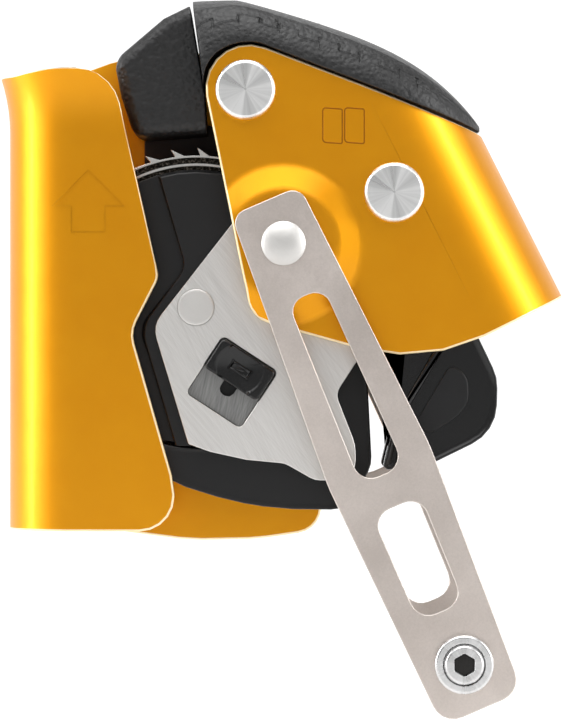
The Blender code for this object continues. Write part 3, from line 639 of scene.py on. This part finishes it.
def addAxle():
    # The axle's riveted end stands only a hair proud of the side plate
    mesh = copyOf("wheel_axle")
    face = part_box("front_plate")[0].y
    proud = [vert for vert in mesh.verts if vert.co.y < face]
    for vert in proud:
        vert.co.y = face + (vert.co.y - face) * 0.35
    addPiece("shaped_wheel_axle", mesh, "arm", [rivetSteel], ["wheel_axle"], 0.08, 2)


addAxle()
wheelMetal = wheelSteel("ground_steel_wheel", middle("wheel_hub"), 30.9)
softened("wheel_ring", "wheel", [wheelMetal], 0.12, 2)

softened("link_strip_front", "link", [linkSteel, linkEdgeHighlight], 0.2, 2, 1)
softened("link_strip_rear", "link", [linkSteel, linkEdgeHighlight], 0.2, 2, 1)
softened("link_washer_front", "link", [coverNylon], 0.12, 2)
softened("link_washer_rear", "link", [coverNylon], 0.12, 2)
barrelMetal = turnedMetal("turned_steel_barrel", middle("link_barrel"), "#c4c4c4", "#e6e6e6", 0.26)
softened("link_barrel", "link", [barrelMetal], 0.2)
screwMetal = turnedMetal("turned_steel_screw", middle("link_screw"), "#bdbdbd", "#e2e2e2", 0.28)
softened("link_screw", "link", [screwMetal], 0.2)


def addSocketShade():
    # Dark disc at the bottom of the screw's hexagon socket: painted shade in the recess
    centre = middle("link_screw")
    corners = []
    for k in range(6):
        angle = math.radians(60 * k + 30)
        corners.append((centre[0] + 2.2 * math.cos(angle), centre[2] + 2.2 * math.sin(angle), 0))
    addPiece("link_screw_socket_shade", thicken(drawFace(corners, -24.85), -0.35), "link",
             [socketShade], edge=0.05, segments=1)


addSocketShade()
softened("link_spacer", "link", [zincSteel], 0.3)
softened("link_nut", "link", [zincSteel], 0.25)
print("link ready")

for nodeName, material in (("pivot_bush", plainBrass), ("pivot_spacer", zincSteel),
                           ("rear_spacer", zincSteel), ("closing_spring", springSteel),
                           ("ratchet_ring", springSteel), ("lock_floor", floorSteel),
                           ("wheel_hub", coverNylon), ("wheel_bearing", plainBrass),
                           ("flyweight_pin_a", zincSteel), ("flyweight_pin_b", zincSteel),
                           ("flyweight_a", plainBrass), ("flyweight_b", plainBrass)):
    refinish(nodeName, material)


studio = {"floor": -0.088, "reach": 1.6, "wallHeight": 1.7, "bend": 0.5, "world": 0.42,
          "lens": 225, "sensor": 36, "camera": (0.0408, -0.917, -0.012), "aim": (0.041, 0.0, -0.01)}


def paperSweep():
    # Seamless paper: matt white, running from the floor up behind the object in one wide bend
    material, tree, shader = startMaterial("seamless_paper", "#d2d2d2", 0.0, 0.9)
    fibres = addNode(tree, "ShaderNodeTexNoise", None, {"Scale": 1.0, "Detail": 3.0},
                     {"Vector": patternSpace(tree, (6, 6, 6))}).outputs["Fac"]
    blendColours(tree, shader, fibres, "#d0d0d0", "#d5d5d5")
    shader.inputs["Emission Color"].default_value = (1, 1, 1, 1)
    depth = addNode(tree, "ShaderNodeSeparateXYZ", None, None,
                    {"Vector": patternSpace(tree, (1, 1, 1))}).outputs["Y"]
    tree.links.new(spread(tree, depth, 0.05, 0.6, -60.0, 20.0), shader.inputs["Emission Strength"])
    mesh = bmesh.new()
    reach, bend, low = studio["reach"], studio["bend"], studio["floor"]
    first = mesh.verts.new((-reach * 2, -reach * 1.4, low))
    second = mesh.verts.new((reach * 2, -reach * 1.4, low))
    line = mesh.edges.new((first, second))
    grown = bmesh.ops.extrude_edge_only(mesh, edges=[line])
    verts = [item for item in grown["geom"] if isinstance(item, bmesh.types.BMVert)]
    bmesh.ops.translate(mesh, verts=verts, vec=(0, reach * 2.4 - bend, 0))
    edges = [item for item in grown["geom"] if isinstance(item, bmesh.types.BMEdge)]
    curled = bmesh.ops.spin(mesh, geom=verts + edges, cent=(0, reach - bend, low + bend), axis=(1, 0, 0),
                            angle=math.pi / 2, steps=16)
    last = [item for item in curled["geom_last"] if isinstance(item, bmesh.types.BMEdge)]
    wall = bmesh.ops.extrude_edge_only(mesh, edges=last)
    verts = [item for item in wall["geom"] if isinstance(item, bmesh.types.BMVert)]
    bmesh.ops.translate(mesh, verts=verts, vec=(0, 0, studio["wallHeight"]))
    bmesh.ops.recalc_face_normals(mesh, faces=mesh.faces)
    data = bpy.data.meshes.new("paper_sweep")
    mesh.to_mesh(data)
    mesh.free()
    data.shade_smooth()
    data.materials.append(material)
    sweep = bpy.data.objects.new("paper_sweep", data)
    bpy.context.scene.collection.objects.link(sweep)


def addSoftbox(name, place, target, wide, high, brightness):
    # A rectangular softbox; its power comes from how bright its face looks
    light = bpy.data.lights.new(name, "AREA")
    light.shape = "RECTANGLE"
    light.size = wide
    light.size_y = high
    light.energy = brightness * math.pi * wide * high
    lamp = bpy.data.objects.new(name, light)
    bpy.context.scene.collection.objects.link(lamp)
    lamp.location = place
    lamp.rotation_euler = (Vector(target) - Vector(place)).to_track_quat("-Z", "Y").to_euler()


paperSweep()
addSoftbox("softbox_left", (-0.6, -0.1, 0.05), studio["aim"], 0.5, 0.9, 1.7)
addSoftbox("strip_left", (-0.58, -0.06, 0.05), studio["aim"], 0.05, 0.9, 14.0)
addSoftbox("softbox_right", (0.7, -0.18, 0.05), studio["aim"], 0.5, 0.9, 1.8)
addSoftbox("strip_right", (0.66, -0.2, 0.05), studio["aim"], 0.05, 0.9, 14.0)
addSoftbox("softbox_top", (0.02, -0.1, 0.75), studio["aim"], 0.7, 0.6, 3.2)
addSoftbox("softbox_key", (-0.1, -0.62, 0.72), studio["aim"], 1.2, 0.6, 1.6)

world = bpy.data.worlds.new("studio")
world.use_nodes = True
world.node_tree.nodes["Background"].inputs["Color"].default_value = (1, 1, 1, 1)
world.node_tree.nodes["Background"].inputs["Strength"].default_value = studio["world"]
bpy.context.scene.world = world
bpy.context.scene.view_settings.view_transform = "Standard"

cameraData = bpy.data.cameras.new("camera")
cameraData.lens = studio["lens"]
cameraData.sensor_width = studio["sensor"]
camera = bpy.data.objects.new("camera", cameraData)
bpy.context.scene.collection.objects.link(camera)
camera.location = studio["camera"]
camera.rotation_euler = (math.pi / 2, 0, 0)
bpy.context.scene.camera = camera
print("studio ready")
